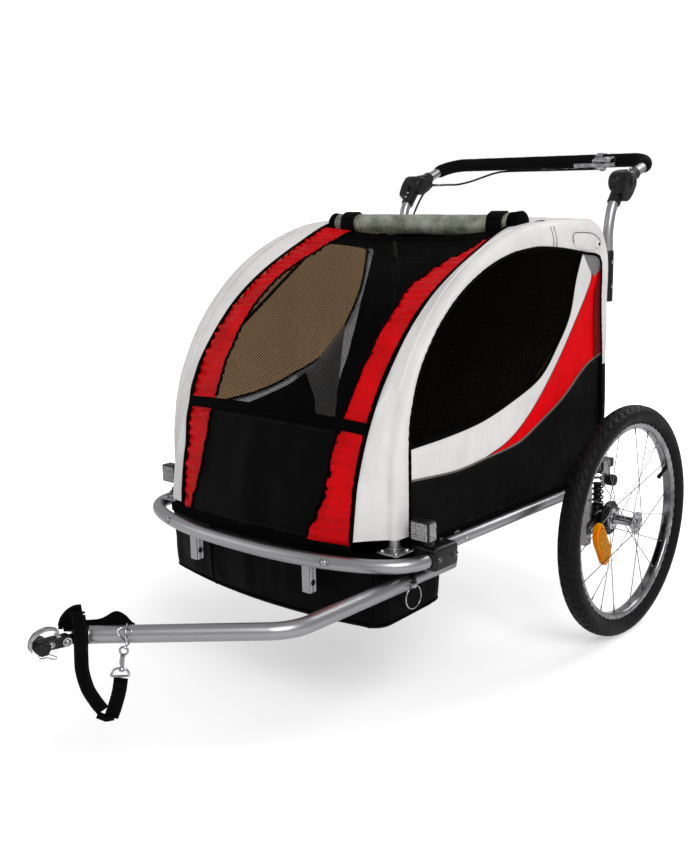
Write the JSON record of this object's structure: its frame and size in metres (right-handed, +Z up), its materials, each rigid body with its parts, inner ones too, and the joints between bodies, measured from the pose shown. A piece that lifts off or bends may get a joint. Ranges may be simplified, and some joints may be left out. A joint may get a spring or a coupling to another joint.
{
  "type": "child bike trailer",
  "caption": "Child bike trailer with an arched fabric cabin on a tube frame, spoked wheels on sprung arms, an angled tow bar with a clamp hitch, and a tilting push handle.",
  "frame": {"origin": "on the ground under the middle of the whole trailer's bounding box", "axes": "+Z up, -Y forward (the way it is towed), +X towards the trailer's left side, where the tow bar is"},
  "size_m": [0.796, 1.4992, 1.014],
  "materials": {
    "silver_tube": "satin anodised tube",
    "chrome": "polished",
    "black_plastic": "moulded, lightly textured",
    "black_steel": "black satin paint",
    "foam": "soft foam",
    "rubber": "moulded rubber",
    "white_cloth": "coated polyester, pale grey-white",
    "red_cloth": "coated polyester, bright red",
    "black_cloth": "coated polyester, black",
    "black_mesh": "fine see-through mesh",
    "tinted_window": "tinted flexible vinyl",
    "webbing": "woven webbing",
    "clear_vinyl": "clear vinyl, rolled",
    "clear_lens": "clear prismatic lens",
    "amber_lens": "amber prismatic lens"
  },
  "bodies": {
    "trailer": {"floor_frame": "silver_tube", "front_bumper": "silver_tube", "roof_crossbar": "silver_tube", "tow_bar": "silver_tube", "rain_cover_roll": "clear_vinyl", "hitch_coupler": "black_plastic", "brake_cable_lower": "black_plastic", "snap_hook": "chrome", "safety_strap": "webbing", "canopy": "white_cloth", "front_mesh": "black_mesh", "front_lower_panel": "black_cloth", "rear_panel": "black_cloth", "footwell_bag": "black_cloth", "seat": "black_cloth", "side_frame_left": "silver_tube", "wheel_bracket_left": "silver_tube", "handlebar_upright_left": "silver_tube", "corner_clamp_left": "black_plastic", "pivot_base_left": "black_plastic", "front_reflector_left": "clear_lens", "suspension_spring_left": "black_steel", "red_stripe_left": "red_cloth", "side_window_left": "tinted_window", "side_panel_left": "black_cloth", "side_frame_right": "silver_tube", "wheel_bracket_right": "silver_tube", "handlebar_upright_right": "silver_tube", "corner_clamp_right": "black_plastic", "pivot_base_right": "black_plastic", "front_reflector_right": "clear_lens", "suspension_spring_right": "black_steel", "red_stripe_right": "red_cloth", "side_window_right": "tinted_window", "side_panel_right": "black_cloth"},
    "wheel_left": {"tyre_left": "rubber", "rim_left": "chrome", "hub_and_spokes_left": "chrome", "spoke_reflector_left": "amber_lens"},
    "wheel_right": {"tyre_right": "rubber", "rim_right": "chrome", "hub_and_spokes_right": "chrome", "spoke_reflector_right": "amber_lens"},
    "swing_arm_left": {"suspension_arm_left": "black_steel"},
    "swing_arm_right": {"suspension_arm_right": "black_steel"},
    "push_handle": {"handlebar_tube": "silver_tube", "handlebar_grip": "foam", "pivot_arm_left": "black_plastic", "pivot_arm_right": "black_plastic", "brake_perch": "chrome", "brake_cable_upper": "black_plastic"},
    "hand_brake_lever": {"brake_lever": "chrome"},
    "pivot_button_left": {"pivot_button_left": "black_plastic"},
    "pivot_button_right": {"pivot_button_right": "black_plastic"},
    "receiver_pin": {"receiver_pin": "chrome"},
    "pull_ring": {"receiver_pin_ring": "chrome"},
    "hitch_head": {"hitch_head": "black_plastic"},
    "hitch_jaw": {"hitch_jaw": "chrome"},
    "hitch_knob": {"hitch_knob": "black_plastic"},
    "hitch_clip": {"hitch_clip": "chrome"}
  },
  "joints": [
    {"name": "suspension_left", "type": "hinge", "parent": "trailer", "child": "swing_arm_left", "pos_m": [0.3015, 0.4276, 0.235], "axis": [1, 0, 0], "range_deg": [-3, 12], "stiffness_Nm_per_rad": 200, "springref_deg": -0.83, "deforming": ["suspension_spring_left"]},
    {"name": "wheel_left_spin", "type": "hinge", "parent": "swing_arm_left", "child": "wheel_left", "pos_m": [0.36, 0.4916, 0.24724], "axis": [1, 0, 0], "continuous": true},
    {"name": "suspension_right", "type": "hinge", "parent": "trailer", "child": "swing_arm_right", "pos_m": [-0.3015, 0.4276, 0.235], "axis": [1, 0, 0], "range_deg": [-3, 12], "stiffness_Nm_per_rad": 200, "springref_deg": -0.83, "deforming": ["suspension_spring_right"]},
    {"name": "wheel_right_spin", "type": "hinge", "parent": "swing_arm_right", "child": "wheel_right", "pos_m": [-0.36, 0.4916, 0.24724], "axis": [1, 0, 0], "continuous": true},
    {"name": "handlebar_tilt", "type": "hinge", "parent": "trailer", "child": "push_handle", "pos_m": [0, 0.5946, 0.9495], "axis": [1, 0, 0], "range_deg": [-70, 130]},
    {"name": "brake_lever_pull", "type": "hinge", "parent": "push_handle", "child": "hand_brake_lever", "pos_m": [0.178, 0.7065, 0.9875], "axis": [0, 0.3214, -0.9469], "range_deg": [0, 4.5], "stiffness_Nm_per_rad": 2},
    {"name": "pivot_button_left_press", "type": "slide", "parent": "trailer", "child": "pivot_button_left", "axis": [-1, 0, 0], "range_m": [0, 0.003], "stiffness_N_per_m": 600},
    {"name": "pivot_button_right_press", "type": "slide", "parent": "trailer", "child": "pivot_button_right", "axis": [1, 0, 0], "range_m": [0, 0.003], "stiffness_N_per_m": 600},
    {"name": "receiver_pin_pull", "type": "slide", "parent": "trailer", "child": "receiver_pin", "axis": [1, 0, 0], "range_m": [0, 0.032]},
    {"name": "pull_ring_swing", "type": "hinge", "parent": "receiver_pin", "child": "pull_ring", "pos_m": [0.3168, -0.1764, 0.285], "axis": [0, -1, 0], "range_deg": [0, 95]},
    {"name": "hitch_pitch", "type": "hinge", "parent": "trailer", "child": "hitch_head", "pos_m": [0.0491, -0.6939, 0.285], "axis": [0.9542, -0.299, 0], "range_deg": [-25, 25]},
    {"name": "hitch_jaw_open", "type": "hinge", "parent": "hitch_head", "child": "hitch_jaw", "pos_m": [0.0457, -0.7049, 0.2946], "axis": [-0.9542, 0.299, 0], "range_deg": [0, 60]},
    {"name": "hitch_knob_turn", "type": "hinge", "parent": "hitch_head", "child": "hitch_knob", "pos_m": [0.0375, -0.7311, 0.285], "axis": [0.9542, -0.299, 0], "continuous": true},
    {"name": "hitch_clip_pull", "type": "slide", "parent": "hitch_head", "child": "hitch_clip", "axis": [0.299, 0.9542, 0], "range_m": [0, 0.014]}
  ]
}
